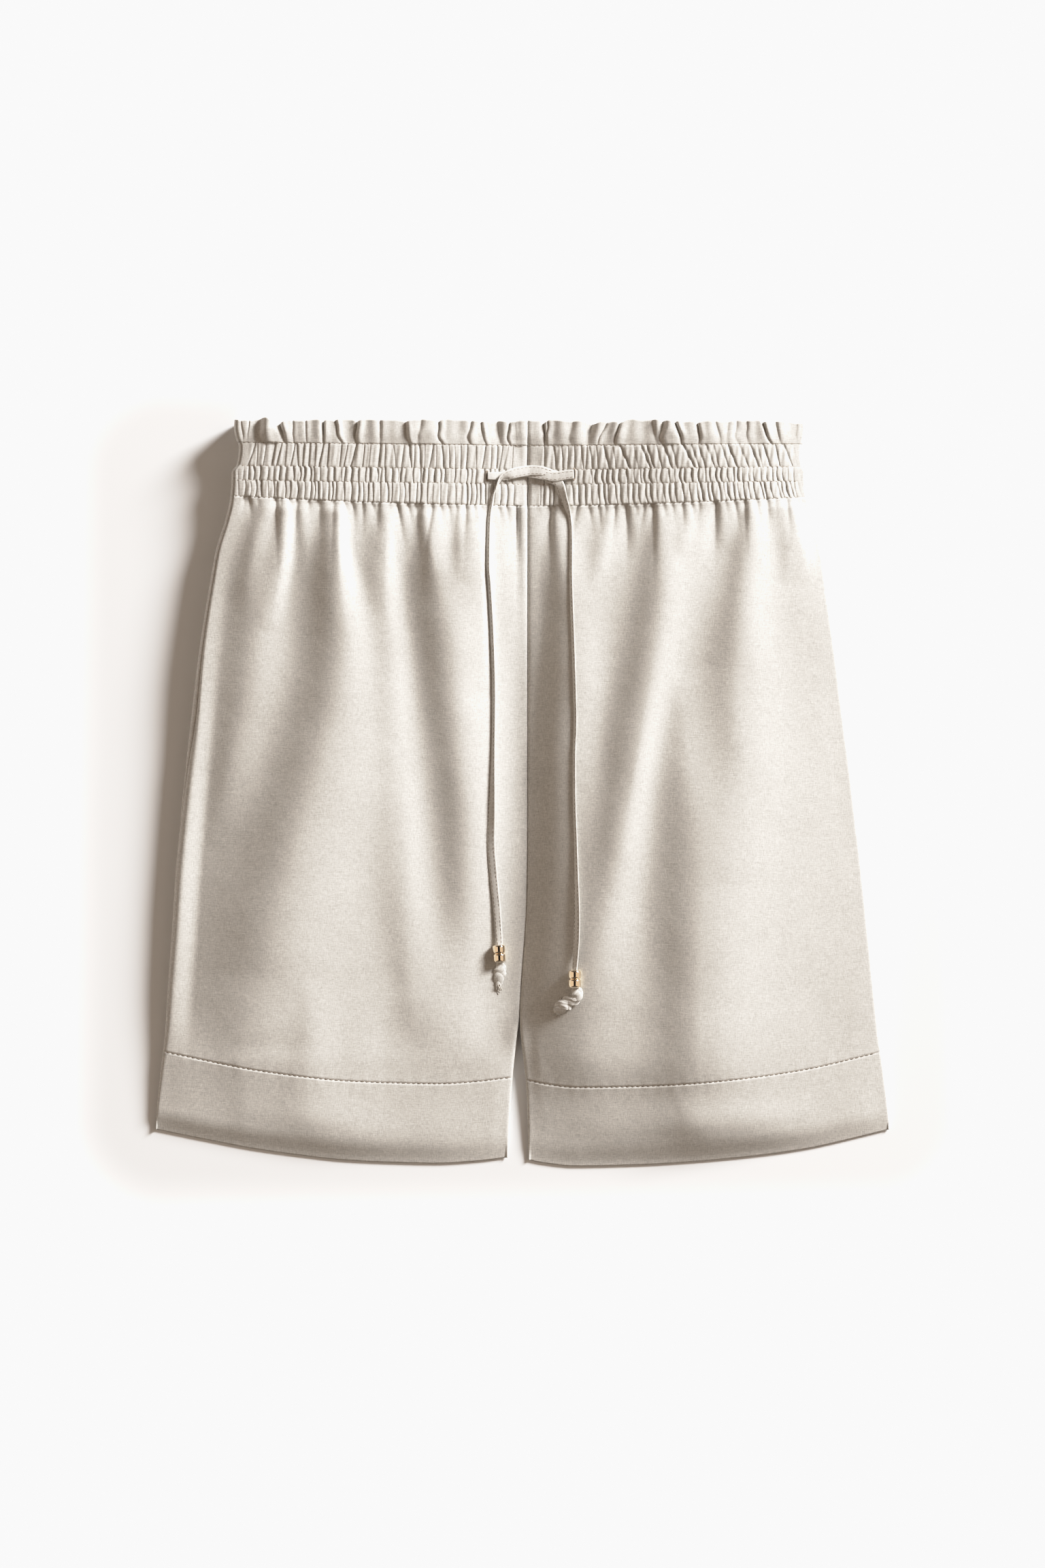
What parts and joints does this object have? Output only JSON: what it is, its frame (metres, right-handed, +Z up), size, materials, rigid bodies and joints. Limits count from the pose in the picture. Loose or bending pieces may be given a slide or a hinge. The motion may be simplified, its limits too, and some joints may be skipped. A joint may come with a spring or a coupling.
{
  "type": "drawstring shorts",
  "caption": "Pull-on shorts lying flat, with a gathered elastic waist and frill, a tie drawstring with metal beads, and deep turned-up hems.",
  "frame": {"origin": "middle of the shorts' outline, on the flat surface they lie on", "axes": "+Z up out of the surface, +Y from the hems towards the waist, +X towards the wearer's left leg"},
  "size_m": [0.4123, 0.4172, 0.0256],
  "materials": {
    "linen": "matt linen-blend weave with slubs, pale warm beige",
    "tape": "matt folded and edge-stitched tape of the same cloth, frayed at its ends",
    "bead_metal": "polished pale gold plating"
  },
  "bodies": {
    "root": {"front_panel_right": "linen", "front_panel_left": "linen", "back_panel_right": "linen", "back_panel_left": "linen", "hem_front_right": "linen", "hem_front_left": "linen", "hem_back_right": "linen", "hem_back_left": "linen", "casing_front_right": "linen", "casing_front_left": "linen", "casing_back_right": "linen", "casing_back_left": "linen", "frill_front_right": "linen", "frill_front_left": "linen", "frill_back_right": "linen", "frill_back_left": "linen", "drawstring_right": "tape", "drawstring_left": "tape", "drawstring_exit_right": "tape", "drawstring_exit_left": "tape", "tail_right": "tape", "tail_left": "tape", "bead_right": "bead_metal", "bead_left": "bead_metal"}
  },
  "joints": []
}
